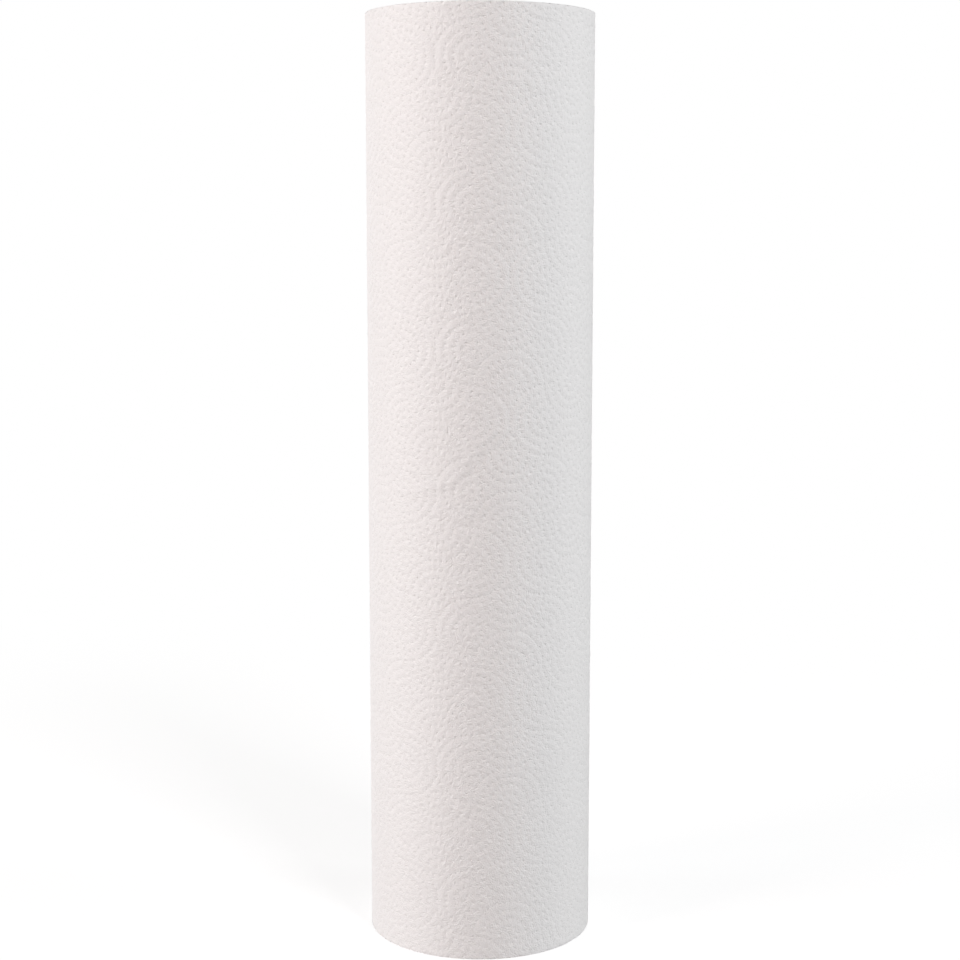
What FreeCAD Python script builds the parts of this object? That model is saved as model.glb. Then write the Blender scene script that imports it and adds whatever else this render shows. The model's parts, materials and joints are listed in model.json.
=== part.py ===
"""Exam table paper roll: a tissue web wound on a card core, in millimetres.

+Z runs along the roll's axis. The origin is on the axis, in the plane of the end that the roll stands on.
The web is wound anticlockwise seen from above, and its tail edge lies at the back, on the +Y side.
"""

import FreeCAD, Part
import os
import Sketcher

# Driving dimensions: alias, millimetres, meaning.
SIZES = (
    ("roll_width", 500.0, "Width of the web, from end face to end face"),
    ("roll_diameter", 123.0, "Diameter of the wound roll, from side to side"),
    ("turn_pitch", 0.21, "What one turn of the embossed web adds to the radius"),
    ("core_bore", 40.0, "Inside diameter of the card core"),
    ("core_wall", 1.5, "Thickness of the card core's wall"),
    ("winding_fit", 0.1, "Play on the diameter between the first turn and the core"),
)

# Sketcher's numbers for the sketch's own origin and for the places on an arc or a line.
ORIGIN = (-1, 1)
START, END, CENTRE = 1, 2, 3


def add_sizes(doc):
    """The spreadsheet of driving dimensions, one row each."""
    sheet = doc.addObject("Spreadsheet::Sheet", "Sizes")
    for row, (alias, value, meaning) in enumerate(SIZES, start=1):
        sheet.set(f"A{row}", meaning)
        sheet.set(f"B{row}", str(value))
        sheet.setAlias(f"B{row}", alias)
    doc.recompute()
    return sheet


def add_body(doc, name):
    """An empty body, whose label is its file's name."""
    body = doc.addObject("PartDesign::Body", name)
    body.Label = name
    return body


def add_end_sketch(body, name):
    """An empty sketch in the plane of the end that the roll stands on."""
    sketch = body.newObject("Sketcher::SketchObject", name)
    plane = next(item for item in body.Origin.OriginFeatures if item.Role == "XY_Plane")
    sketch.AttachmentSupport = [(plane, "")]
    sketch.MapMode = "FlatFace"
    return sketch


def constrain(sketch, kind, *where, value=None, formula=None):
    """One constraint. A size has a value to start from, and a formula that binds it to the sheet."""
    if value is None:
        return sketch.addConstraint(Sketcher.Constraint(kind, *where))
    index = sketch.addConstraint(Sketcher.Constraint(kind, *where, value))
    sketch.setExpression(f"Constraints[{index}]", formula)
    return index


def add_circle(sketch, diameter, formula):
    """A circle about the roll's axis."""
    circle = sketch.addGeometry(Part.Circle(FreeCAD.Vector(), FreeCAD.Vector(0, 0, 1), diameter / 2))
    constrain(sketch, "Coincident", circle, CENTRE, *ORIGIN)
    constrain(sketch, "Diameter", circle, value=diameter, formula=formula)


def pad_to_width(body, sketch, name, width):
    """Runs a section from end face to end face."""
    pad = body.newObject("PartDesign::Pad", name)
    pad.Profile = sketch
    pad.Length = width
    pad.setExpression("Length", "Sizes.roll_width")
    sketch.Visibility = False


def add_spiral_outline(sketch, diameter, pitch):
    """The outside of the last turn: four quarter arcs about the corners of a square of a quarter pitch.

    The arcs run anticlockwise from the back. Each meets the next on the line through both centres, so they
    are tangent, and each has a radius a quarter pitch larger. After one turn the outline ends one pitch
    outside its start, which is the step at the web's tail edge.
    """
    step = pitch / 4
    corners = ((-1, -1), (1, -1), (1, 1), (-1, 1))
    first_radius = (diameter - 3 * step) / 2
    arcs = []
    for quarter, (across, along) in enumerate(corners):
        centre = FreeCAD.Vector(across * step / 2, along * step / 2, 0)
        circle = Part.Circle(centre, FreeCAD.Vector(0, 0, 1), first_radius + quarter * step)
        start = FreeCAD.Units.Quantity(90 * (quarter + 1), "deg").getValueAs("rad").Value
        end = FreeCAD.Units.Quantity(90 * (quarter + 2), "deg").getValueAs("rad").Value
        arc = sketch.addGeometry(Part.ArcOfCircle(circle, start, end))
        for axis, side in (("DistanceX", across), ("DistanceY", along)):
            constrain(sketch, axis, *ORIGIN, arc, CENTRE, value=side * step / 2,
                      formula=f"{side} * Sizes.turn_pitch / 8")
        arcs.append(arc)
    tail = sketch.addGeometry(Part.LineSegment(sketch.getPoint(arcs[-1], END), sketch.getPoint(arcs[0], START)))

    for arc, following in zip(arcs, arcs[1:] + [tail]):
        constrain(sketch, "Coincident", arc, END, following, START)
    constrain(sketch, "Coincident", tail, END, arcs[0], START)
    constrain(sketch, "Vertical", arcs[0], CENTRE, arcs[0], START)
    for arc, level in zip(arcs, ("Horizontal", "Vertical", "Horizontal", "Vertical")):
        constrain(sketch, level, arc, CENTRE, arc, END)
    constrain(sketch, "DistanceX", arcs[0], END, arcs[2], END, value=diameter, formula="Sizes.roll_diameter")


def make_wound_paper(doc, sheet):
    """The whole web as it lies wound, one solid with the core's place left open."""
    body = add_body(doc, "wound_paper")
    sketch = add_end_sketch(body, "WoundSection")
    add_spiral_outline(sketch, sheet.roll_diameter, sheet.turn_pitch)
    add_circle(
        sketch,
        sheet.core_bore + 2 * sheet.core_wall + sheet.winding_fit,
        "Sizes.core_bore + 2 * Sizes.core_wall + Sizes.winding_fit",
    )
    pad_to_width(body, sketch, "WoundWeb", sheet.roll_width)
    return body


def make_core_tube(doc, sheet):
    """The card tube that the web is wound on, cut flush with the web at both ends."""
    body = add_body(doc, "core_tube")
    sketch = add_end_sketch(body, "CoreSection")
    add_circle(sketch, sheet.core_bore, "Sizes.core_bore")
    add_circle(sketch, sheet.core_bore + 2 * sheet.core_wall, "Sizes.core_bore + 2 * Sizes.core_wall")
    pad_to_width(body, sketch, "CoreWall", sheet.roll_width)
    return body


def check_built(doc, bodies):
    """Stops before anything is written if a feature failed or a piece is empty or faulty."""
    for item in doc.Objects:
        if "Invalid" in item.State or "Error" in item.State:
            raise RuntimeError(f"{item.Label} did not build: {item.State}")
    for body in bodies:
        if body.Shape.isNull() or not body.Shape.isValid() or not body.Shape.Solids:
            raise RuntimeError(f"{body.Label} has no valid solid")


def main():
    doc = FreeCAD.newDocument("ExamTablePaperRoll")
    sheet = add_sizes(doc)
    bodies = [make_wound_paper(doc, sheet), make_core_tube(doc, sheet)]
    doc.recompute()
    check_built(doc, bodies)
    os.makedirs("parts", exist_ok=True)
    for body in bodies:
        body.Shape.exportStep(f"parts/{body.Label}.step")
        print(f"{body.Label}: {body.Shape.Volume:.0f} cubic millimetres")


main()
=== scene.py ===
# %% [markdown]
# # Exam table paper roll
#
# The roll is about fifty metres of white embossed tissue, wound on a card core and standing on its end. The
# long sheet is called the web, as paper makers call it. Three pieces are made here, in metres, in the packed
# model's frame: the last turn with its embossing, all the turns beneath it, and the card core.

# %% Load the frame
import json
import math
import random

import bmesh
import bpy
import numpy as np
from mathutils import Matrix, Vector
from mathutils.geometry import delaunay_2d_cdt


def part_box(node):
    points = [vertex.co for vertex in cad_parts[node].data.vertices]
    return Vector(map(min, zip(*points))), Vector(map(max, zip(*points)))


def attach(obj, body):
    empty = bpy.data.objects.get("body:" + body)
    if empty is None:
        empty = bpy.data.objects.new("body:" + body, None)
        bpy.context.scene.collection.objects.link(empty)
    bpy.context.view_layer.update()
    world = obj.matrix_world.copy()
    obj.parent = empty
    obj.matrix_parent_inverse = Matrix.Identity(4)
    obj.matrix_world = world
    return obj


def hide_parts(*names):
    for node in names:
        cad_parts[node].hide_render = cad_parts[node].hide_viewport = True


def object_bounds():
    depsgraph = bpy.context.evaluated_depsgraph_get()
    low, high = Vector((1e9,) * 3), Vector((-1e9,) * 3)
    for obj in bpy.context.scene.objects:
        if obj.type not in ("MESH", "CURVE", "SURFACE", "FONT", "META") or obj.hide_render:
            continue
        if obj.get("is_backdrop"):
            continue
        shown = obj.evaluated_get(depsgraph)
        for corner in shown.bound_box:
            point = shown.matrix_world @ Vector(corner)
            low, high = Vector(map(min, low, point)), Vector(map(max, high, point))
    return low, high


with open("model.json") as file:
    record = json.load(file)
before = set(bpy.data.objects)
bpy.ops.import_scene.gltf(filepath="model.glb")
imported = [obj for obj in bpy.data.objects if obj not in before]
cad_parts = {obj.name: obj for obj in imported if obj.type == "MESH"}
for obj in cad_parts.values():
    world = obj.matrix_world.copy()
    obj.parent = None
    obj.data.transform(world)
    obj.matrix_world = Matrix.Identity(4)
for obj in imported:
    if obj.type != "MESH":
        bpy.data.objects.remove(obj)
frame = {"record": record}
cad_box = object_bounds()

MM = 0.001
web_low, web_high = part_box("wound_paper")
core_low, core_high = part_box("core_tube")
BORE_RADIUS = frame["record"]["mounts"][0]["dims"]["r_mm"] * MM
WEB_WIDTH = web_high.z - web_low.z
TAIL_RADIUS = web_high.y
CORE_RADIUS = core_high.x
TURN_PITCH = 0.21 * MM
print(f"web {WEB_WIDTH:.3f} m wide, tail at radius {TAIL_RADIUS:.5f} m")
print(f"core from radius {BORE_RADIUS:.5f} m to {CORE_RADIUS:.5f} m")

# %% [markdown]
# Geometry Nodes and shaders are both trees of nodes. Written node by node, a formula is hard to read, so
# this cell makes a small helper: a `Field` is a number that the tree works out at every point, and adding,
# multiplying or taking the sine of one adds the matching Math node.

# %% Helpers for node trees


def feed(tree, socket, value):
    """Links a socket, or sets its value."""
    if isinstance(value, Field):
        value = value.socket
    if isinstance(value, bpy.types.NodeSocket):
        tree.links.new(value, socket)
    else:
        socket.default_value = value


def add_node(tree, kind, inputs=None, **settings):
    """A node with its settings made and its inputs fed, by name or by place."""
    made = tree.nodes.new(kind)
    for name, value in settings.items():
        setattr(made, name, value)
    for key, value in (inputs or {}).items():
        feed(tree, made.inputs[key], value)
    return made


class Field:
    """A number worked out at every point of a mesh or a surface."""

    def __init__(self, tree, socket):
        self.tree = tree
        self.socket = socket

    def work_out(self, operation, *values):
        made = add_node(self.tree, "ShaderNodeMath", dict(enumerate(values)), operation=operation)
        return Field(self.tree, made.outputs[0])

    def __add__(self, other):
        return self.work_out("ADD", self, other)

    def __sub__(self, other):
        return self.work_out("SUBTRACT", self, other)

    def __rsub__(self, other):
        return self.work_out("SUBTRACT", other, self)

    def __mul__(self, other):
        return self.work_out("MULTIPLY", self, other)

    def __truediv__(self, other):
        return self.work_out("DIVIDE", self, other)

    def of(self, operation, *others):
        """Any other Math node, such as COSINE or MAXIMUM, with this number first."""
        return self.work_out(operation, self, *others)

    __radd__ = __add__
    __rmul__ = __mul__


print("node helpers: feed, add_node and Field")

# %% [markdown]
# Three more helpers take a vector apart, put one together, and make noise. Noise gives the uneven look of
# paper. It has a fixed seed, so that it comes out the same each time.

# %% Helpers for vectors and noise


def separate(tree, vector):
    """The x, y and z of a vector, as Fields."""
    parts = add_node(tree, "ShaderNodeSeparateXYZ", {0: vector})
    return [Field(tree, socket) for socket in parts.outputs]


def combine(tree, x, y, z):
    """A vector from three numbers or Fields."""
    return add_node(tree, "ShaderNodeCombineXYZ", {0: x, 1: y, 2: z}).outputs[0]


def noise(tree, vector, scale, detail=2.0, w=0.0, roughness=0.5):
    """Noise from about -0.5 to 0.5. A fixed w is its seed."""
    made = add_node(tree, "ShaderNodeTexNoise",
                    {"Vector": vector, "W": w, "Scale": scale, "Detail": detail, "Roughness": roughness},
                    noise_dimensions="4D")
    return Field(tree, made.outputs[0]) - 0.5


print("vector helpers: separate, combine and noise")

# %% [markdown]
# Each piece is made by a Geometry Nodes tree with named sizes. A tree could stay on its piece as a modifier,
# but the finished model holds plain meshes, so the tree is run once and its result is kept. These helpers
# begin a tree, end it and run it, and they store, read and move what the points hold.

# %% Helpers for Geometry Nodes
SAME_POINT = 0.01 * MM


def new_geometry_tree(name, sizes):
    """A Geometry Nodes tree with a geometry input, one named input for each size, and a material input."""
    tree = bpy.data.node_groups.new(name, "GeometryNodeTree")
    tree.interface.new_socket("Geometry", in_out="INPUT", socket_type="NodeSocketGeometry")
    for size, value in sizes.items():
        kind = "NodeSocketInt" if isinstance(value, int) else "NodeSocketFloat"
        tree.interface.new_socket(size, in_out="INPUT", socket_type=kind)
    tree.interface.new_socket("Material", in_out="INPUT", socket_type="NodeSocketMaterial")
    tree.interface.new_socket("Geometry", in_out="OUTPUT", socket_type="NodeSocketGeometry")
    entry = tree.nodes.new("NodeGroupInput")
    given = {socket.name: Field(tree, socket) for socket in entry.outputs if socket.name}
    return tree, given


def end_tree(tree, given, geometry):
    """Ends a tree in Realize Instances and Set Material."""
    real = add_node(tree, "GeometryNodeRealizeInstances", {"Geometry": geometry})
    finish = add_node(tree, "GeometryNodeSetMaterial",
                      {"Geometry": real.outputs[0], "Material": given["Material"]})
    leave = tree.nodes.new("NodeGroupOutput")
    tree.links.new(finish.outputs[0], leave.inputs[0])


def store(tree, geometry, name, value, kind="FLOAT"):
    """Stores a value on every point under a name."""
    made = add_node(tree, "GeometryNodeStoreNamedAttribute",
                    {"Geometry": geometry, "Name": name, "Value": value},
                    data_type=kind, domain="POINT")
    return made.outputs[0]


def stored(tree, name):
    """A number that the points hold under a name."""
    made = add_node(tree, "GeometryNodeInputNamedAttribute", {"Name": name}, data_type="FLOAT")
    return Field(tree, made.outputs["Attribute"])


def number_of_point(tree):
    return Field(tree, add_node(tree, "GeometryNodeInputIndex").outputs[0])


def move_points(tree, geometry, **where):
    """Puts every point at a Position, or moves it by an Offset."""
    return add_node(tree, "GeometryNodeSetPosition", {"Geometry": geometry, **where}).outputs[0]


def merge(tree, geometry, distance=SAME_POINT):
    """Joins points that lie within a distance of each other."""
    made = add_node(tree, "GeometryNodeMergeByDistance", {"Geometry": geometry, "Distance": distance})
    return made.outputs[0]


def run_tree(piece, tree, sizes, material):
    """Runs a tree on a piece once and leaves a plain mesh, with no modifier."""
    modifier = piece.modifiers.new(tree.name, "NODES")
    modifier.node_group = tree
    values = {**sizes, "Material": material}
    for item in tree.interface.items_tree:
        if item.in_out == "INPUT" and item.name in values:
            modifier[item.identifier] = values[item.name]
    depsgraph = bpy.context.evaluated_depsgraph_get()
    mesh = bpy.data.meshes.new_from_object(piece.evaluated_get(depsgraph), depsgraph=depsgraph)
    piece.modifiers.clear()
    before = piece.data
    piece.data = mesh
    bpy.data.meshes.remove(before)
    mesh.name = piece.name
    print(f"{tree.name}: {len(mesh.vertices)} points, {len(mesh.polygons)} faces")


def new_piece(name, mesh=None):
    """An object at the origin that holds a mesh."""
    piece = bpy.data.objects.new(name, mesh or bpy.data.meshes.new(name))
    bpy.context.scene.collection.objects.link(piece)
    return piece


def smooth_with_sharp_edges(piece, degrees):
    """Smooth shading that still breaks at edges sharper than the angle."""
    piece.data.shade_smooth()
    piece.data.set_sharp_from_angle(angle=math.radians(degrees))


print(f"points within {SAME_POINT / MM} mm count as one")

# %% [markdown]
# ## The embossing pattern
#
# The web is pressed between rollers whose pins leave small dots. The dots lie on rings, four rings round
# each centre, and the centres stand like the white squares of a chessboard. Where two rosettes overlap,
# one of them is complete and the other gives way. Each rosette has one strong side: there it covers its two
# slanting neighbours, and its outer ring is pressed straight, in line with the rosette that faces it.
#
# The dots could be placed by hand or drawn as a bump, but a rule is shorter and exact: every dot's place
# comes from its ring and its number on the ring.

# %% Place the dots of one repeat
# The rings from the inside out: how many dots each has, and how many dots past the top it starts.
RING_GAP = 4.6 * MM
RING_DOTS = (9, 20, 28, 40)
RING_STARTS = (0.0, 0.5, 0.0, 0.0)
OUTER_RING = len(RING_DOTS)
HALF_STEP = OUTER_RING * RING_GAP
STRETCH_AROUND = 1.065
GIVE_WAY = HALF_STEP + 2.0 * MM
STRAIGHT_SIDE = math.radians(20)
SAME_DOT = 1.0 * MM
COLUMNS_IN_REPEAT = 2
ROWS_IN_REPEAT = 4
REACH = 2
REPEAT_AROUND = COLUMNS_IN_REPEAT * HALF_STEP * STRETCH_AROUND
REPEAT_UP = ROWS_IN_REPEAT * HALF_STEP

# The strong side of the rosette in each column and row of a repeat: up, down, left or right.
STRONG_SIDES = {
    (0, 0): Vector((0, 1)),
    (0, 2): Vector((0, -1)),
    (1, 1): Vector((-1, 0)),
    (1, 3): Vector((1, 0)),
}


def strong_side(column, row):
    """The direction of a rosette's complete side. Rows count downwards."""
    repeats = column // COLUMNS_IN_REPEAT
    row_in_repeat = (row - repeats * ROWS_IN_REPEAT // 2) % ROWS_IN_REPEAT
    return STRONG_SIDES[column % COLUMNS_IN_REPEAT, row_in_repeat]


def rosette_dots(column, row):
    """The dots of one rosette about its own centre, without those that give way to a stronger neighbour."""
    strong = strong_side(column, row)
    neighbours = [Vector((x, y)) for x in (-1, 1) for y in (-1, 1)]
    stronger = [neighbour * HALF_STEP for neighbour in neighbours if neighbour.dot(strong) < 0]
    dots = [Vector((0, 0))]
    for ring, (count, start) in enumerate(zip(RING_DOTS, RING_STARTS), 1):
        for number in range(count):
            turn = 2 * math.pi * (number + start) / count
            direction = Vector((math.sin(turn), math.cos(turn)))
            dot = direction * ring * RING_GAP
            if ring == OUTER_RING and direction.dot(strong) > math.cos(STRAIGHT_SIDE):
                dot += strong * (HALF_STEP - dot.dot(strong))
            in_a_quarter = ring == OUTER_RING and number % (count // 4) == 0
            hidden = any((dot - centre).length < GIVE_WAY for centre in stronger)
            if ring == 1 or in_a_quarter or not hidden:
                dots.append(dot)
    return dots


def repeat_dots():
    """Every dot whose centre lies in one repeat of the pattern, which runs right and down from the origin."""
    found = []
    for column in range(-REACH, COLUMNS_IN_REPEAT + REACH + 1):
        for row in range(-REACH + column % 2, ROWS_IN_REPEAT + REACH + 1, 2):
            centre = Vector((column, -row)) * HALF_STEP
            for dot in rosette_dots(column, row):
                place = Vector(((centre + dot).x * STRETCH_AROUND, (centre + dot).y))
                inside = -SAME_DOT < place.x < REPEAT_AROUND and -REPEAT_UP < place.y < SAME_DOT
                if inside and all((place - other).length > SAME_DOT for other in found):
                    found.append(place)
    # A dot on the border comes again on the border opposite, and only one of the two is kept.
    steps = [(0, 1)] + [(1, y) for y in (-2, -1, 0, 1)]
    shifts = [Vector((x * REPEAT_AROUND, x * REPEAT_UP / 2 + y * REPEAT_UP)) for x, y in steps]
    return [dot for dot in found
            if all((dot - shift - other).length > SAME_DOT for shift in shifts for other in found)]


dots = repeat_dots()
print(f"{len(dots)} dots in a repeat of {REPEAT_AROUND / MM:.1f} by {REPEAT_UP / MM:.1f} mm")

# %% [markdown]
# ## One repeat as a mesh
#
# Each dot is a small pit: four points a little below the surface, and a deep one in the middle. Between the
# dots the web stands proud, most of all where the nearest dots are far off. So there is a crest point in the
# middle of each gap and halfway between neighbouring dots, where there is room for one. A grid of squares
# would need far more faces for such small dots, so a Delaunay triangulation joins just these points. It is
# made over the repeat and a border of its neighbours, and only the triangles of the repeat are kept, so that
# copies fit side by side.

# %% Find the crests between the dots
NEXT_COLUMN = Vector((REPEAT_AROUND, REPEAT_UP / 2))
NEXT_ROW = Vector((0, REPEAT_UP))
STEPS = [NEXT_COLUMN * across + NEXT_ROW * up for across in (-1, 0, 1) for up in (-2, -1, 0, 1, 2)]
BORDER = 10 * MM
NOT_APART = 1e-8
CREST_SPACING = 1.76 * MM
WOBBLE = 0.10 * MM
SEED = 11


def with_neighbours(points):
    """The points of a repeat and those within a border of it, each with the number of its original."""
    found = []
    for step in STEPS:
        for number, point in enumerate(points):
            place = point + step
            if -BORDER < place.x < REPEAT_AROUND + BORDER and -REPEAT_UP - BORDER < place.y < BORDER:
                found.append((place, number))
    return found


def in_repeat(point):
    return 0 <= point.x < REPEAT_AROUND and -REPEAT_UP <= point.y < 0


def triangulate(points):
    """Delaunay triangles, each as three numbers of points."""
    _, _, faces, originals, _, _ = delaunay_2d_cdt(points, [], [], 0, NOT_APART)
    return [[originals[corner][0] for corner in face] for face in faces]


def gap_middle(a, b, c):
    """The point as far from each of three dots, and that distance."""
    side_b, side_c = b - a, c - a
    double_area = 2 * side_b.cross(side_c)
    across = side_b.length_squared * side_c.y - side_c.length_squared * side_b.y
    up = side_c.length_squared * side_b.x - side_b.length_squared * side_c.x
    offset = Vector((across, up)) / double_area
    return a + offset, offset.length


def find_crests(dots):
    """Middles of gaps and of pairs of dots, widest first, none nearer to another than the spacing."""
    near = [place for place, _ in with_neighbours(dots)]
    gaps = []
    for face in triangulate(near):
        corners = [near[corner] for corner in face]
        gaps.append(gap_middle(*corners))
        for a, b in zip(corners, corners[1:] + corners[:1]):
            middle = (a + b) / 2
            if in_repeat(middle):
                gaps.append((middle, min((middle - dot).length for dot in near)))
    gaps = sorted((gap for gap in gaps if in_repeat(gap[0])), key=lambda gap: -gap[1])
    kept = []
    for middle, width in gaps:
        if all((middle + step - other).length > CREST_SPACING for other, _ in kept for step in STEPS):
            kept.append((middle, width))
    return kept


chance = random.Random(SEED)
dots = [dot + Vector((chance.gauss(0, WOBBLE), chance.gauss(0, WOBBLE))) for dot in dots]
crests = find_crests(dots)
print(f"{len(crests)} crests, in gaps from {crests[-1][1] / MM:.2f} to {crests[0][1] / MM:.2f} mm wide")

# %% Join dots and crests into the mesh of one repeat
PIT_SIDES = 4
PIT_RADIUS = 0.76 * MM
PIT_DEPTH = 0.49 * MM
RIM_SHARE = 0.28
CREST_DROP = 0.05 * MM


def repeat_points():
    """Each point of a repeat in the flat web, with its height and how far it is pressed in, from 0 to 1."""
    points, heights, pressed = [], [], []
    for dot in dots:
        first = chance.uniform(0, 2 * math.pi)
        rim = [first + 2 * math.pi * side / PIT_SIDES for side in range(PIT_SIDES)]
        points += [dot] + [dot + PIT_RADIUS * Vector((math.cos(turn), math.sin(turn))) for turn in rim]
        heights += [-PIT_DEPTH] + [-PIT_DEPTH * RIM_SHARE] * PIT_SIDES
        pressed += [1.0] + [RIM_SHARE] * PIT_SIDES
    widest = crests[0][1]
    for middle, width in crests:
        points.append(middle)
        heights.append(-CREST_DROP * (widest - width) / MM)
        pressed.append(0.0)
    return points, heights, pressed


def repeat_mesh():
    """One repeat, whose border follows the triangles."""
    points, heights, pressed = repeat_points()
    near = with_neighbours(points)
    faces = triangulate([place for place, _ in near])
    middles = [sum((near[corner][0] for corner in face), Vector((0, 0))) / 3 for face in faces]
    faces = [face for face, middle in zip(faces, middles) if in_repeat(middle)]
    used = sorted({corner for face in faces for corner in face})
    number_of = {corner: number for number, corner in enumerate(used)}
    mesh = bpy.data.meshes.new("web_repeat")
    mesh.from_pydata([(*near[corner][0], heights[near[corner][1]]) for corner in used], [],
                     [[number_of[corner] for corner in face] for face in faces])
    layer = mesh.attributes.new("pressed", "FLOAT", "POINT")
    layer.data.foreach_set("value", [pressed[near[corner][1]] for corner in used])
    return mesh


repeat = repeat_mesh()
print(f"one repeat: {len(repeat.vertices)} points, {len(repeat.polygons)} triangles")

# %% [markdown]
# ## The last turn, laid out flat
#
# A Geometry Nodes tree lays copies of the repeat side by side. Each column starts half a repeat higher than
# the one before it, as the rollers print them. The copies are joined where they meet.

# %% Lay out the repeats
SKIN_ROOM = 0.18 * MM
TURN_LENGTH = math.pi * (2 * TAIL_RADIUS - TURN_PITCH)
PATTERN_TURN = math.radians(-3.7)
PATTERN_HEIGHT = 436 * MM


def tiling_tree(sizes):
    tree, given = new_geometry_tree("lay_out_repeats", sizes)
    index = number_of_point(tree)
    column = (index / given["Rows"]).of("FLOOR")
    row = index - column * given["Rows"]
    across = given["Start Around"] + column * given["Repeat Around"]
    half_steps = column - (column / 2.0).of("FLOOR") * 2.0
    up = given["Start Up"] + (row + half_steps / 2.0) * given["Repeat Up"]
    points = add_node(tree, "GeometryNodePoints",
                      {"Count": given["Columns"] * given["Rows"], "Position": combine(tree, across, up, 0.0)})
    copies = add_node(tree, "GeometryNodeInstanceOnPoints",
                      {"Points": points.outputs[0], "Instance": given["Geometry"]})
    real = add_node(tree, "GeometryNodeRealizeInstances", {"Geometry": copies.outputs[0]})
    end_tree(tree, given, merge(tree, real.outputs[0]))
    return tree


pattern_around = TURN_LENGTH * (0.5 + PATTERN_TURN / (2 * math.pi)) - HALF_STEP * STRETCH_AROUND
pattern_up = PATTERN_HEIGHT + HALF_STEP
columns_before = 2 * math.ceil(pattern_around / REPEAT_AROUND / 2)
tiling_sizes = {
    "Columns": math.ceil(TURN_LENGTH / REPEAT_AROUND) + 2,
    "Rows": math.ceil(WEB_WIDTH / REPEAT_UP) + 2,
    "Start Around": pattern_around - columns_before * REPEAT_AROUND,
    "Start Up": pattern_up % REPEAT_UP - REPEAT_UP / 2,
    "Repeat Around": REPEAT_AROUND,
    "Repeat Up": REPEAT_UP,
}
paper_turn = bpy.data.materials.new("paper_turn")
outer_turn = new_piece("outer_turn", repeat)
run_tree(outer_turn, tiling_tree(tiling_sizes), tiling_sizes, paper_turn)

# %% [markdown]
# The web is now cut to the length of one turn and to the roll's width, as the maker's blades cut it, right
# through the dots. A Boolean could cut it, but a flat cut through an open sheet is simpler and exact. Two
# lines of points near each rim let it bend when the web is wound.

# %% Cut the web to length and width
TAIL_GAP = 0.05 * MM
ON_THE_CUT = 0.02 * MM
RIM_LINES = (0.35 * MM, 0.9 * MM)


def cut(web, axis, place, keep_below=None):
    """Cuts the flat web at a place on its x (0) or y (1) axis. One side goes, or a line of points is left."""
    normal = Vector((0, 0, 0))
    normal[axis] = -1 if keep_below is False else 1
    point = Vector((0, 0, 0))
    point[axis] = place
    bmesh.ops.bisect_plane(web, geom=web.verts[:] + web.edges[:] + web.faces[:], dist=ON_THE_CUT,
                           plane_co=point, plane_no=normal, clear_outer=keep_below is not None)
    if keep_below is not None:
        for vertex in web.verts:
            if vertex.is_boundary and abs(vertex.co[axis] - place) <= ON_THE_CUT:
                vertex.co[axis] = place


web = bmesh.new()
web.from_mesh(outer_turn.data)
cut(web, 0, 0.0, keep_below=False)
cut(web, 0, TURN_LENGTH - TAIL_GAP, keep_below=True)
cut(web, 1, 0.0, keep_below=False)
cut(web, 1, WEB_WIDTH, keep_below=True)
for line in RIM_LINES:
    cut(web, 1, line)
    cut(web, 1, WEB_WIDTH - line)
bmesh.ops.triangulate(web, faces=web.faces[:])
print(f"flat web: {len(web.verts)} points, {len(web.faces)} triangles")

# %% [markdown]
# Loose turns on a roll never lie quite smooth. Where the web has a little slack it folds into soft ridges,
# and between them it sinks. Each crease is a short path with a height, above or below the surface, and it
# fades out with distance. They are few and none repeats, so they are listed one by one.

# %% Press creases into the web
CREASES = (
    # Points along the crease, in degrees from the front and millimetres up. Then height and width, in mm.
    (((14.5, 462.0), (23.0, 460.5), (32.0, 457.0)), 0.17, 2.0),
    (((12.0, 467.5), (20.0, 467.0)), -0.14, 2.2),
    (((31.0, 469.0), (36.0, 468.0)), -0.12, 2.2),
    (((-14.0, 447.0), (-11.0, 442.0), (-9.0, 438.5)), 0.12, 2.2),
    (((10.0, 427.0), (16.0, 426.5), (22.5, 428.0)), -0.14, 2.4),
    (((-11.0, 403.5), (-6.0, 410.0), (-3.6, 414.0)), -0.14, 2.2),
    (((-5.6, 389.0), (4.5, 390.5)), -0.11, 2.0),
    (((3.0, 375.5), (8.0, 374.5), (13.5, 375.5)), -0.21, 2.4),
    (((2.0, 367.0), (8.0, 365.5), (14.0, 366.5)), 0.14, 2.2),
    (((-16.2, 363.0), (-10.0, 372.0), (1.5, 375.0)), 0.11, 2.4),
    (((-37.0, 251.0), (-24.0, 254.0), (-12.6, 258.5), (-5.8, 269.0), (4.5, 282.5), (13.4, 285.0)), 0.20, 2.6),
    (((-30.0, 247.5), (-14.0, 251.5), (-3.5, 262.5), (5.0, 275.5)), -0.12, 2.6),
    (((-7.3, 234.0), (4.5, 239.0)), -0.14, 2.2),
    (((-17.9, 86.0), (-13.0, 83.5), (-7.3, 81.0)), 0.11, 2.2),
    (((43.0, 487.5), (72.0, 486.0)), 0.09, 1.6),
    (((43.0, 481.0), (72.0, 480.0)), 0.08, 1.6),
)


def distance_to_path(places, path):
    """How far each place is from the nearest point of a path."""
    nearest = np.full(len(places), np.inf)
    for start, end in zip(path, path[1:]):
        run = end - start
        share = np.clip((places - start) @ run / (run @ run), 0, 1)
        nearest = np.minimum(nearest, np.linalg.norm(places - start - share[:, None] * run, axis=1))
    return nearest


def press_creases(web):
    places = np.array([vertex.co[:2] for vertex in web.verts])
    lift = np.zeros(len(places))
    for points, height, width in CREASES:
        path = [np.array(((0.5 + turn / 360) * TURN_LENGTH, up * MM)) for turn, up in points]
        lift += height * MM * np.exp(-(distance_to_path(places, path) / (width * MM)) ** 2)
    for vertex, rise in zip(web.verts, lift):
        vertex.co.z += rise
    return lift


lift = press_creases(web)
print(f"{len(CREASES)} creases, from {lift.min() / MM:.2f} to {lift.max() / MM:.2f} mm")

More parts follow.
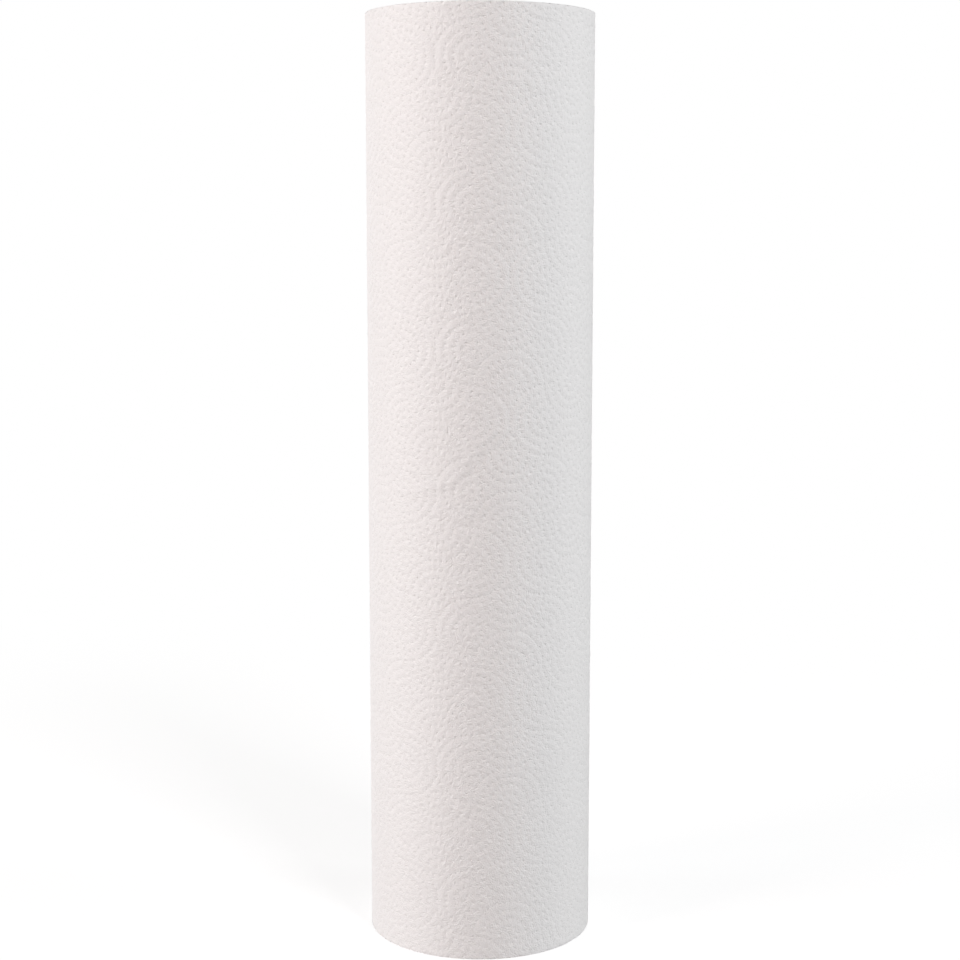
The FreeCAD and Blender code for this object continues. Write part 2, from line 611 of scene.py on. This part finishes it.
# %% [markdown]
# ## Closing the last turn
#
# A sheet with no back can't be told inside from outside, so the flat web gets an inner face. It bears no
# embossing, because nobody sees it. It lies six pitches deep, to make room for the pits and the creases, so
# at both ends the cut edge is drawn as six turns: rows of points stand at the cut and sink between the turns.
# Solidify would copy the embossing to the back and double the faces, so strips of triangles join each row to
# the next, and the first and last row to the embossed face.

# %% Give the web its inner face and its cut edges
BETWEEN_TURNS = 0.10 * MM
INNER_COLUMNS = 72
EDGE_TURNS = 6
BACK_DEPTH = EDGE_TURNS * TURN_PITCH
ROUNDING = 1e-7


def join_rows(web, first, second, axis):
    """A strip of triangles between two rows of points, which steps along whichever row is behind."""
    a = b = 0
    while a + 1 < len(first) or b + 1 < len(second):
        step_first = b + 1 == len(second)
        if a + 1 < len(first) and b + 1 < len(second):
            step_first = first[a + 1].co[axis] <= second[b + 1].co[axis]
        corner = first[a + 1] if step_first else second[b + 1]
        web.faces.new((first[a], second[b], corner))
        a, b = (a + 1, b) if step_first else (a, b + 1)


def cut_row(points, axis, place):
    """The points that lie on a cut, in order along it."""
    on_cut = [point for point in points if abs(point.co[axis] - place) < ROUNDING]
    return sorted(on_cut, key=lambda point: point.co[1 - axis])


def close_web(web):
    """Adds the inner face and the cut edges. The points of the embossed face are marked as outside."""
    outside = web.verts.layers.float.new("outside")
    edge_points = [vertex for vertex in web.verts if vertex.is_boundary]
    for vertex in web.verts:
        vertex[outside] = 1.0
    length = TURN_LENGTH - TAIL_GAP
    sunk = [(BETWEEN_TURNS * (half % 2), TURN_PITCH * half / 2) for half in range(1, 2 * EDGE_TURNS)]
    profile = [(up, depth + TURN_PITCH / 2) for up, depth in sunk]
    levels = profile + [(WEB_WIDTH - up, depth) for up, depth in reversed(profile)]
    columns = [length * column / INNER_COLUMNS for column in range(INNER_COLUMNS + 1)]
    rows = [[web.verts.new((along, up, -depth)) for along in columns] for up, depth in levels]
    strips = [cut_row(edge_points, 1, 0.0)] + rows + [cut_row(edge_points, 1, WEB_WIDTH)]
    for low, high in zip(strips, strips[1:]):
        join_rows(web, low, high, 0)
    join_rows(web, cut_row(edge_points, 0, 0.0), [row[0] for row in rows], 1)
    join_rows(web, cut_row(edge_points, 0, length), [row[-1] for row in rows], 1)
    bmesh.ops.recalc_face_normals(web, faces=web.faces[:])


close_web(web)
open_edges = sum(len(edge.link_faces) != 2 for edge in web.edges)
web.to_mesh(outer_turn.data)
web.free()
print(f"closed web: {len(outer_turn.data.polygons)} triangles, {open_edges} open edges")

# %% [markdown]
# ## Winding the last turn
#
# The flat web now goes round the roll. A Geometry Nodes tree turns the distance along the web into an angle
# from the tail edge, and the height of each point into a place on the radius, which grows by one pitch in a
# turn. Tissue is never even, and sculpting that would take long, so noise does it: patches and single dots
# are pressed more or less deep, the web sways and hangs a little slack, and it is pebbled between the dots.
# Towards the end that the roll stands on, the embossing gets softer. At both rims the web bends inwards, and
# its cut edge is ragged. The place in the flat web is stored first, for the paper's grain.

# %% Wrap the web round the roll
# How many patches of each kind of noise fit in a metre.
PRESS_PATCHES = 28.0
DOT_PATCHES = 330.0
SWAY_PATCHES = 32.0
SLACK_PATCHES = 90.0
PEBBLE_PATCHES = 420.0
RAGGED_PATCHES = 400.0
# Patches are drawn out up the web, or along it and pressed flat.
UPRIGHT = 0.7
LYING = (0.6, 1.3)
RAGGED_CONTRAST = 1.6
RAGGED_SHARE = 3.0


def turn_relief(tree, given, flat, from_end):
    """How hard each dot is pressed, and how far the surface sinks below the roll's own radius."""
    along, up, _ = separate(tree, flat)
    upright = combine(tree, along, up * UPRIGHT, 0.0)
    lying = combine(tree, along * LYING[0], up * LYING[1], 0.0)
    press = 1.0 + noise(tree, upright, PRESS_PATCHES, w=1.0) * given["Press Change"]
    press = press + noise(tree, flat, DOT_PATCHES, w=9.0) * given["Dot Change"]
    sway = (0.5 + noise(tree, upright, SWAY_PATCHES, w=5.0)) * given["Sway"]
    slack = (0.5 + noise(tree, lying, SLACK_PATCHES, w=6.0)) * given["Slack"]
    between_dots = 1.0 - stored(tree, "pressed")
    pebble = (0.5 - noise(tree, flat, PEBBLE_PATCHES, w=7.0)) * between_dots * given["Pebble"]
    bend = (1.0 - from_end / given["Rim"]).of("MAXIMUM", 0.0)
    return press, stored(tree, "outside") * (sway + slack + pebble + bend * bend * given["Rim Drop"])


def ragged_rim(tree, given, flat, up, from_end):
    """How far each point near a cut rim stays short of the cut, towards the middle of the roll."""
    inwards = 1.0 - up.of("GREATER_THAN", given["Width"] / 2.0) * 2.0
    unevenness = noise(tree, flat, RAGGED_PATCHES, w=3.0) * RAGGED_CONTRAST
    ragged = (0.5 + unevenness).of("MAXIMUM", 0.0) * given["Short"]
    return (1.0 - from_end / given["Rim"] * RAGGED_SHARE).of("MAXIMUM", 0.0) * ragged * inwards


def wrapping_tree(sizes):
    tree, given = new_geometry_tree("wrap_round_roll", sizes)
    flat = add_node(tree, "GeometryNodeInputPosition").outputs[0]
    kept = store(tree, given["Geometry"], "web", flat, kind="FLOAT_VECTOR")
    along, up, height = separate(tree, flat)
    from_end = up.of("MINIMUM", given["Width"] - up)
    press, dip = turn_relief(tree, given, flat, from_end)
    soft = 1.0 - (1.0 - up / given["Soft Length"]).of("MAXIMUM", 0.0) * given["Soft Base"]
    eased = store(tree, kept, "pressed", stored(tree, "pressed") * soft)
    turns = along / given["Turn Length"]
    outer_radius = given["Tail Radius"] - given["Turn Pitch"] * (1.0 - turns) - given["Skin Room"]
    radius = outer_radius + height * press * soft - dip
    angle = turns * (2 * math.pi) + math.pi / 2
    up_the_roll = up + ragged_rim(tree, given, flat, up, from_end)
    place = combine(tree, radius * angle.of("COSINE"), radius * angle.of("SINE"), up_the_roll)
    end_tree(tree, given, move_points(tree, eased, Position=place))
    return tree


wrapping_sizes = {
    "Turn Length": TURN_LENGTH,
    "Tail Radius": TAIL_RADIUS,
    "Turn Pitch": TURN_PITCH,
    "Skin Room": SKIN_ROOM,
    "Width": WEB_WIDTH,
    "Press Change": 0.4,
    "Dot Change": 0.35,
    "Soft Base": 0.22,
    "Soft Length": 250 * MM,
    "Sway": 0.10 * MM,
    "Slack": 0.17 * MM,
    "Pebble": 0.07 * MM,
    "Rim": RIM_LINES[-1],
    "Rim Drop": 0.16 * MM,
    "Short": 0.16 * MM,
}
run_tree(outer_turn, wrapping_tree(wrapping_sizes), wrapping_sizes, paper_turn)
smooth_with_sharp_edges(outer_turn, degrees=60)

# %% [markdown]
# ## The turns beneath
#
# At both ends the roll shows the edges of all its turns, nearly two hundred of them, as one spiral. A bump on
# a flat ring would leave the mesh flat. The spiral follows a rule, so a Geometry Nodes tree makes it: a grid
# three points wide runs round and round, its middle row a turn's edge and its outer rows the creases beside
# it. Neighbouring rows coincide and are merged. Extruding the flat spiral by the web's width gives the whole
# wound body. Then its ends get their relief: fine creases, and turns that stand a little short of the blade's
# cut, never beyond it.

# %% Make the flat spiral
BODY_FIT = 0.02 * MM
CORE_FIT = 0.07 * MM
TURN_SEGMENTS = 96
POINTS_ACROSS = 3
SAME_PLACE_ON_SPIRAL = 0.005 * MM
BODY_RADIUS = TAIL_RADIUS - SKIN_ROOM - BACK_DEPTH - BODY_FIT
FIRST_RADIUS = CORE_RADIUS + CORE_FIT
turn_count = round((BODY_RADIUS - FIRST_RADIUS) / TURN_PITCH) - 1


def flat_spiral(tree, given):
    """The end face of the wound body, three points across each turn."""
    grid = add_node(tree, "GeometryNodeMeshGrid",
                    {"Vertices X": given["Turns"] * given["Segments"] + 1.0, "Vertices Y": POINTS_ACROSS})
    index = number_of_point(tree)
    along = (index / POINTS_ACROSS).of("FLOOR")
    across = index - along * POINTS_ACROSS
    turns = along / given["Segments"]
    pitch = (given["Last Radius"] - given["First Radius"]) / (given["Turns"] + 1.0)
    radius = given["First Radius"] + pitch * (turns + across / 2.0)
    angle = (turns - turns.of("FLOOR")) * (2 * math.pi) + math.pi / 2
    place = combine(tree, radius * angle.of("COSINE"), radius * angle.of("SINE"), 0.0)
    spiral = move_points(tree, grid.outputs["Mesh"], Position=place)
    marked = store(tree, spiral, "between", (across - 1.0).of("ABSOLUTE"))
    merged = merge(tree, marked, SAME_PLACE_ON_SPIRAL)
    return add_node(tree, "GeometryNodeFlipFaces", {"Mesh": merged}).outputs[0]


print(f"{turn_count} turns of {(BODY_RADIUS - FIRST_RADIUS) / (turn_count + 1) / MM:.3f} mm")

# %% Wind the body
BY_TURN_PATCHES = 900.0
BY_TURN_SHARE = 1.2
ROUND_TURN_PATCHES = 60.0
ROUND_TURN_SHARE = 0.6


def end_relief(tree, given):
    """How far each point of the two end faces moves, always towards the middle of the roll."""
    here = add_node(tree, "GeometryNodeInputPosition").outputs[0]
    x, y, up = separate(tree, here)
    radius = (x * x + y * y).of("SQRT")
    is_top = up.of("GREATER_THAN", given["Width"] / 2.0)
    by_turn = noise(tree, combine(tree, radius, is_top, 0.0), BY_TURN_PATCHES, detail=3.0, w=2.0)
    round_turn = noise(tree, combine(tree, x, y, is_top), ROUND_TURN_PATCHES, w=8.0)
    unevenness = 0.5 + by_turn * BY_TURN_SHARE + round_turn * ROUND_TURN_SHARE
    sunk = unevenness.of("MAXIMUM", 0.0) * given["Short"] + stored(tree, "between") * given["Crease"]
    return sunk * (1.0 - is_top * 2.0)


def winding_tree(sizes):
    tree, given = new_geometry_tree("wind_body", sizes)
    spiral = flat_spiral(tree, given)
    whole_width = combine(tree, 0.0, 0.0, given["Width"])
    raised = add_node(tree, "GeometryNodeExtrudeMesh",
                      {"Mesh": spiral, "Offset": whole_width, "Individual": False})
    base = add_node(tree, "GeometryNodeFlipFaces", {"Mesh": spiral})
    both = add_node(tree, "GeometryNodeJoinGeometry", {"Geometry": raised.outputs["Mesh"]})
    tree.links.new(base.outputs[0], both.inputs[0])
    body = merge(tree, both.outputs[0], SAME_PLACE_ON_SPIRAL)
    end_tree(tree, given, move_points(tree, body, Offset=combine(tree, 0.0, 0.0, end_relief(tree, given))))
    return tree


winding_sizes = {
    "Turns": turn_count,
    "Segments": TURN_SEGMENTS,
    "First Radius": FIRST_RADIUS,
    "Last Radius": BODY_RADIUS,
    "Width": WEB_WIDTH,
    "Short": 0.22 * MM,
    "Crease": 0.06 * MM,
}
paper_edges = bpy.data.materials.new("paper_edges")
wound_body = new_piece("wound_body")
run_tree(wound_body, winding_tree(winding_sizes), winding_sizes, paper_edges)
smooth_with_sharp_edges(wound_body, degrees=50)

# %% [markdown]
# ## The card core
#
# The core is a tube of grey-brown card, wound from narrow plies that run round it like the stripes on a
# barber's pole. A cylinder would lose the helical seam and the ply lines at the cut ends. A closed grid keeps
# both: its rows go up the bore, across the top edge, down the outside and across the bottom edge, and its
# columns twist with the plies, so that one column is the seam.

# %% Make the core
CORE_WALL = CORE_RADIUS - BORE_RADIUS
PLY_WIDTH = 70 * MM
BORE_ROUND = 2 * math.pi * BORE_RADIUS
PLY_PITCH = BORE_ROUND / math.tan(math.acos(PLY_WIDTH / BORE_ROUND))
NEARLY = 0.001


def core_tree(sizes):
    tree, given = new_geometry_tree("roll_core", sizes)
    wall, edge = given["Wall Rows"], given["Edge Rows"]
    rows = 2.0 * (wall + edge)
    grid = add_node(tree, "GeometryNodeMeshGrid",
                    {"Vertices X": given["Columns"] + 1.0, "Vertices Y": rows + 1.0})
    index = number_of_point(tree)
    column = (index / (rows + 1.0)).of("FLOOR")
    row = index - column * (rows + 1.0)

    def part_of_way(start, length):
        """0 before a run of rows, 1 after it, and the share of it between."""
        return ((row - start) / length).of("MAXIMUM", 0.0).of("MINIMUM", 1.0)

    rise = part_of_way(0.0, wall)
    out = part_of_way(wall, edge)
    fall = part_of_way(wall + edge, wall)
    back = part_of_way(wall * 2.0 + edge, edge)
    up = given["Length"] * (rise - fall)
    across = out - back
    seam = 1.0 - column.of("MINIMUM", given["Columns"] - column).of("MINIMUM", 1.0)
    outside_wall = across.of("GREATER_THAN", 1.0 - NEARLY)
    bore_wall = 1.0 - across.of("GREATER_THAN", NEARLY)
    groove = seam * given["Seam Depth"] * (bore_wall - outside_wall)
    radius = given["Bore"] + given["Wall"] * across + groove
    ply_line = (row * math.pi).of("COSINE") * -0.5 + 0.5
    on_edge = (1.0 - outside_wall) * (1.0 - bore_wall)
    inwards = 1.0 - up.of("GREATER_THAN", given["Length"] / 2.0) * 2.0
    sunk = on_edge * ply_line * given["Ply Line"] * inwards
    turn = column / given["Columns"] + up / given["Ply Pitch"]
    angle = turn * (2 * math.pi)
    place = combine(tree, radius * angle.of("COSINE"), radius * angle.of("SINE"), up + sunk)
    closed = merge(tree, move_points(tree, grid.outputs["Mesh"], Position=place))
    facing_out = add_node(tree, "GeometryNodeFlipFaces", {"Mesh": closed})
    end_tree(tree, given, facing_out.outputs[0])
    return tree


core_sizes = {
    "Columns": 120,
    "Wall Rows": 250,
    "Edge Rows": 8,
    "Length": WEB_WIDTH,
    "Bore": BORE_RADIUS,
    "Wall": CORE_WALL,
    "Seam Depth": 0.12 * MM,
    "Ply Line": 0.08 * MM,
    "Ply Pitch": PLY_PITCH,
}
card = bpy.data.materials.new("core_card")
card_core = new_piece("card_core")
run_tree(card_core, core_tree(core_sizes), core_sizes, card)
smooth_with_sharp_edges(card_core, degrees=40)
print(f"core seam climbs {PLY_PITCH / MM:.0f} mm in a turn")

# %% [markdown]
# ## Finishes
#
# Tissue is soft and matt. Its fibres lie in small clouds and cross each other, and it is pebbled more finely
# than the mesh shows. Its pressed dots are darkened in the colour: partly because pressed tissue is denser,
# and partly as painted shade for the shadow in the pits. The creases between the turns at the cut edges get
# painted shade too. A painted picture would repeat, so the grain is noise. The embossed face and the cut
# edges are the same paper, and the card core shows fibres too, so the grain and the painted shade are one
# shader group with named inputs, placed in each material.

# %% Build the shared paper grain


def new_shader_group(name, inputs, outputs):
    """A shader group with named inputs and outputs, and its inputs as Fields."""
    tree = bpy.data.node_groups.new(name, "ShaderNodeTree")
    for socket_name, kind in inputs.items():
        tree.interface.new_socket(socket_name, in_out="INPUT", socket_type="NodeSocket" + kind)
    for socket_name, kind in outputs.items():
        tree.interface.new_socket(socket_name, in_out="OUTPUT", socket_type="NodeSocket" + kind)
    entry = tree.nodes.new("NodeGroupInput")
    return tree, {socket.name: Field(tree, socket) for socket in entry.outputs if socket.name}


def scaled(tree, vector, x, y, z):
    """A vector with each side multiplied."""
    return add_node(tree, "ShaderNodeVectorMath", {0: vector, 1: (x, y, z)}, operation="MULTIPLY").outputs[0]


def tinted(tree, colour, amount):
    """A colour made lighter or darker by an amount."""
    made = add_node(tree, "ShaderNodeVectorMath", {0: colour}, operation="SCALE")
    feed(tree, made.inputs["Scale"], amount)
    return made.outputs[0]


# How many clouds and pebbles fit in a metre, and how many fibres along their length and across it.
CLOUD_PATCHES = 160.0
GRAIN_PEBBLES = 1300.0
FIBRES_LENGTHWISE = 500.0
FIBRES_CROSSWISE = 2600.0
# How sharply the painted shade gathers at the bottom of the pits and in the creases between turns.
PAINTED_SHADE_POWER = 2.5
ROUGHNESS = 0.86
ROUGHNESS_CHANGE = 0.12
CROSS_FIBRE_HEIGHT = 0.7
FIBRE_HEIGHT = 0.5


def grain_and_shade_group():
    """Paper or card grain, and painted shade where Deep is high. Place is in metres, with x along the web and
    y across it.
    """
    amounts = ("Deep", "Clouds", "Fibres", "Shade", "Pebbles", "Relief")
    tree, given = new_shader_group(
        "grain_and_painted_shade",
        {"Place": "Vector", "Colour": "Color", **dict.fromkeys(amounts, "Float")},
        {"Colour": "Color", "Roughness": "Float", "Height": "Float"},
    )
    place = given["Place"].socket
    long, fine = FIBRES_LENGTHWISE, FIBRES_CROSSWISE
    clouds = noise(tree, place, CLOUD_PATCHES, detail=4.0, w=1.0, roughness=0.6)
    along = noise(tree, scaled(tree, place, long, fine, fine), 1.0, detail=3.0, w=2.0)
    across = noise(tree, scaled(tree, place, fine, long, long), 1.0, detail=3.0, w=3.0)
    fibres = along + across
    pebbles = noise(tree, place, GRAIN_PEBBLES, detail=1.0, w=4.0)
    # Painted shade: Deep and Shade darken the colour in the pits and in the creases between turns, where
    # shadow falls.
    painted_shade = given["Deep"].of("POWER", PAINTED_SHADE_POWER) * given["Shade"]
    shade = 1.0 + clouds * given["Clouds"] + fibres * given["Fibres"] - painted_shade
    height = pebbles * given["Pebbles"] + across * CROSS_FIBRE_HEIGHT + fibres * FIBRE_HEIGHT
    leave = tree.nodes.new("NodeGroupOutput")
    feed(tree, leave.inputs["Colour"], tinted(tree, given["Colour"], shade))
    feed(tree, leave.inputs["Roughness"], ROUGHNESS + clouds * ROUGHNESS_CHANGE)
    feed(tree, leave.inputs["Height"], height - given["Deep"] * given["Relief"])
    return tree


grain_and_painted_shade = grain_and_shade_group()
print(f"{grain_and_painted_shade.name}: {len(grain_and_painted_shade.nodes)} nodes")

# %% [markdown]
# Each material is one Principled BSDF, fed by the grain and its painted shade. The values that are the same
# all
# over go straight on its sockets: little gloss, and a trace of sheen, as the fuzz of tissue has.

# %% Finish the materials
PAPER_WHITE = (0.87, 0.855, 0.85, 1.0)
CARD_BROWN = (0.50, 0.405, 0.30, 1.0)
LITTLE_GLOSS = 0.25
SHEEN_ROUGHNESS = 0.6


def finish_material(material, place, deep, values, bump, bump_depth, sheen):
    """Fills a material: the shared grain and painted shade, a bump from its height, and a soft matt surface.
    """
    tree = material.node_tree
    shader = tree.nodes["Principled BSDF"]
    grain = add_node(tree, "ShaderNodeGroup", node_tree=grain_and_painted_shade)
    feed(tree, grain.inputs["Place"], place)
    feed(tree, grain.inputs["Deep"], deep)
    for name, value in values.items():
        feed(tree, grain.inputs[name], value)
    relief = add_node(tree, "ShaderNodeBump",
                      {"Strength": bump, "Distance": bump_depth, "Height": grain.outputs["Height"]})
    tree.links.new(grain.outputs["Colour"], shader.inputs["Base Color"])
    tree.links.new(grain.outputs["Roughness"], shader.inputs["Roughness"])
    tree.links.new(relief.outputs["Normal"], shader.inputs["Normal"])
    shader.inputs["Specular IOR Level"].default_value = LITTLE_GLOSS
    shader.inputs["Sheen Weight"].default_value = sheen
    shader.inputs["Sheen Roughness"].default_value = SHEEN_ROUGHNESS


for material in (paper_turn, paper_edges, card):
    material.use_nodes = True

turn_tree = paper_turn.node_tree
web_place = add_node(turn_tree, "ShaderNodeAttribute", attribute_name="web").outputs["Vector"]
in_dots = add_node(turn_tree, "ShaderNodeAttribute", attribute_name="pressed").outputs["Fac"]
# Shade paints shade into the pressed dots, partly for their denser paper and partly for the shadow in the
# pits.
finish_material(paper_turn, web_place, in_dots,
                {"Colour": PAPER_WHITE, "Clouds": 0.05, "Fibres": 0.07, "Shade": 0.05,
                 "Pebbles": 4.4, "Relief": 2.4},
                bump=0.8, bump_depth=0.12 * MM, sheen=0.05)

edge_tree = paper_edges.node_tree
edge_place = add_node(edge_tree, "ShaderNodeTexCoord").outputs["Object"]
between_turns = add_node(edge_tree, "ShaderNodeAttribute", attribute_name="between").outputs["Fac"]
# Shade paints shade into the creases between the turns, where the shadow between them falls.
finish_material(paper_edges, edge_place, between_turns,
                {"Colour": PAPER_WHITE, "Clouds": 0.06, "Fibres": 0.05, "Shade": 0.10, "Pebbles": 1.0},
                bump=0.6, bump_depth=0.04 * MM, sheen=0.05)

card_tree = card.node_tree
card_place = add_node(card_tree, "ShaderNodeTexCoord").outputs["Object"]
finish_material(card, card_place, 0.0,
                {"Colour": CARD_BROWN, "Clouds": 0.30, "Fibres": 0.45},
                bump=0.6, bump_depth=0.05 * MM, sheen=0.0)
print("finished", ", ".join(material.name for material in (paper_turn, paper_edges, card)))

# %% [markdown]
# ## Floor, light and camera
#
# The roll stands on a plain white floor. A light strong enough to make it white would bleach the roll, so to
# the camera the floor and the world are white of themselves. Round the roll the floor glows a little less and
# takes light as well, so that it keeps a faint shadow. Farther out the glow alone makes it white. For light
# that bounces it is a dark grey, or the roll would be lit from below.

# %% Lay the floor
FLOOR_SIZE = 8.0
FLOOR_SQUARES = 8
BOUNCE_GREY = (0.25, 0.25, 0.25, 1.0)
PLAIN_WHITE = (1.0, 1.0, 1.0, 1.0)
NEAR_FLOOR = 0.2
FAR_FLOOR = 0.9
NEAR_GLOW = 0.78
NEAR_WHITE = 0.3


def seen_directly(tree):
    """1 for rays from the camera, from gloss and through glass, and 0 for light that bounces."""
    path = add_node(tree, "ShaderNodeLightPath")
    direct = Field(tree, path.outputs["Is Camera Ray"])
    for kind in ("Is Glossy Ray", "Is Transmission Ray"):
        direct = direct.of("MAXIMUM", path.outputs[kind])
    return direct


floor = new_piece("studio_floor")
floor_mesh = bmesh.new()
bmesh.ops.create_grid(floor_mesh, x_segments=FLOOR_SQUARES, y_segments=FLOOR_SQUARES, size=FLOOR_SIZE / 2)
floor_mesh.to_mesh(floor.data)
floor_mesh.free()
floor_white = bpy.data.materials.new("floor_white")
floor_white.use_nodes = True
floor.data.materials.append(floor_white)
floor_tree = floor_white.node_tree
floor_tree.nodes.remove(floor_tree.nodes["Principled BSDF"])
bounce = add_node(floor_tree, "ShaderNodeBsdfDiffuse", {"Color": BOUNCE_GREY})
floor_place = add_node(floor_tree, "ShaderNodeTexCoord").outputs["Object"]
distance = add_node(floor_tree, "ShaderNodeVectorMath", {0: floor_place}, operation="LENGTH")
out_from_roll = Field(floor_tree, distance.outputs["Value"])
far_out = ((out_from_roll - NEAR_FLOOR) / (FAR_FLOOR - NEAR_FLOOR)).of("MAXIMUM", 0.0).of("MINIMUM", 1.0)
shadowed = add_node(floor_tree, "ShaderNodeBsdfDiffuse", {"Color": (1.0 - far_out) * NEAR_WHITE})
glow = add_node(floor_tree, "ShaderNodeEmission",
                {"Color": PLAIN_WHITE, "Strength": NEAR_GLOW + far_out * (1.0 - NEAR_GLOW)})
white = add_node(floor_tree, "ShaderNodeAddShader", {0: shadowed.outputs[0], 1: glow.outputs[0]})
chosen = add_node(floor_tree, "ShaderNodeMixShader",
                  {0: seen_directly(floor_tree), 1: bounce.outputs[0], 2: white.outputs[0]})
floor_tree.links.new(chosen.outputs[0], floor_tree.nodes["Material Output"].inputs["Surface"])
print(f"floor {FLOOR_SIZE:.0f} m square")

# %% [markdown]
# What lights the roll is a soft grey all round and five square lamps, 3 to 4 m away. One at each side rakes
# across the embossing, which front light would flatten. A warm one stands at the front left and a high one at
# the front right, and they shape the roll. A weak one behind keeps the back from going dark.

# %% Light the world
ROOM_LIGHT = 0.17

world = bpy.data.worlds.new("studio_world")
bpy.context.scene.world = world
world.use_nodes = True
world_tree = world.node_tree
world_light = add_node(world_tree, "ShaderNodeBackground", {"Color": PLAIN_WHITE, "Strength": ROOM_LIGHT})
world_seen = add_node(world_tree, "ShaderNodeBackground", {"Color": PLAIN_WHITE, "Strength": 1.0})
world_choice = add_node(world_tree, "ShaderNodeMixShader",
                        {0: seen_directly(world_tree), 1: world_light.outputs[0], 2: world_seen.outputs[0]})
world_tree.links.new(world_choice.outputs[0], world_tree.nodes["World Output"].inputs["Surface"])
print(f"{world.name}: light {ROOM_LIGHT}")

# %% Set the lamps
LAMP_DISTANCE = 4.0
LAMP_SIZE = 1.2
BACK_DISTANCE = 3.0
BACK_SIZE = 1.6


def add_lamp(name, turn, distance, height, size, power, colour):
    """A square lamp that faces the roll. Turn is in degrees round the roll from the front, right positive."""
    angle = math.radians(turn)
    lamp = bpy.data.lights.new(name, "AREA")
    lamp.shape = "SQUARE"
    lamp.size = size
    lamp.energy = power
    lamp.color = colour
    stand = bpy.data.objects.new(name, lamp)
    stand.location = (math.sin(angle) * distance, -math.cos(angle) * distance, height)
    aim = Vector((0, 0, WEB_WIDTH / 2)) - stand.location
    stand.rotation_euler = aim.to_track_quat("-Z", "Y").to_euler()
    bpy.context.scene.collection.objects.link(stand)
    return stand


# Name, turn, distance, height above the floor, size, power in watts, colour.
lamps = [
    add_lamp("side_left", -85, LAMP_DISTANCE, 0.5, LAMP_SIZE, 95.0, (0.90, 0.96, 1.0)),
    add_lamp("key_left", -58, LAMP_DISTANCE, 1.6, LAMP_SIZE, 73.0, (1.0, 0.82, 0.75)),
    add_lamp("key_right", 30, LAMP_DISTANCE, 3.4, LAMP_SIZE, 113.0, (0.99, 0.975, 1.0)),
    add_lamp("side_right", 80, LAMP_DISTANCE, 1.0, LAMP_SIZE, 67.0, (0.96, 1.0, 1.0)),
    add_lamp("back_fill", 180, BACK_DISTANCE, 1.0, BACK_SIZE, 24.0, (1.0, 1.0, 1.0)),
]
print("lamps", ", ".join(lamp.name for lamp in lamps))

# %% [markdown]
# The camera stands in front of the roll, level with its upper part, and looks slightly down. Its pitch and
# lens follow from where it stands, so that the roll fills the frame from the bottom edge to the top.

# %% Place the camera
CAMERA_DISTANCE = 1.0
CAMERA_HEIGHT = 0.385
to_front = CAMERA_DISTANCE - web_high.x
up_to_top = math.atan((WEB_WIDTH - CAMERA_HEIGHT) / to_front)
down_to_base = math.atan(CAMERA_HEIGHT / to_front)
pitch = (down_to_base - up_to_top) / 2
lens = bpy.data.cameras.new("camera")
lens.lens = lens.sensor_width / 2 / math.tan((up_to_top + down_to_base) / 2)
camera = bpy.data.objects.new("camera", lens)
camera.location = (0.0, -CAMERA_DISTANCE, CAMERA_HEIGHT)
camera.rotation_euler = (math.pi / 2 - pitch, 0.0, 0.0)
bpy.context.scene.collection.objects.link(camera)
bpy.context.scene.camera = camera
bpy.context.scene.view_settings.view_transform = "Standard"
print(f"camera pitched down {math.degrees(pitch):.1f} degrees, lens {lens.lens:.1f} mm")

# %% [markdown]
# ## Ride on the frame
#
# The roll has no moving parts, so every piece rides on its one body. The two paper pieces stand for the
# wound paper of the imported model, and the card core stands for its tube. The last step prints both sizes,
# the imported model's and this one's.

# %% Join the pieces to the frame
for piece, node, slot in ((outer_turn, "wound_paper", "paper"), (wound_body, "wound_paper", "paper"),
                          (card_core, "core_tube", "card")):
    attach(piece, "root")
    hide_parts(node)
    print(f"{piece.name} stands for {node}, in {slot}")
floor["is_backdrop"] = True

# %% Print the sizes
visual_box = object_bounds()
for name, (low, high) in (("packed", cad_box), ("visual", visual_box)):
    print(name, [round(side / MM, 2) for side in high - low], "mm")
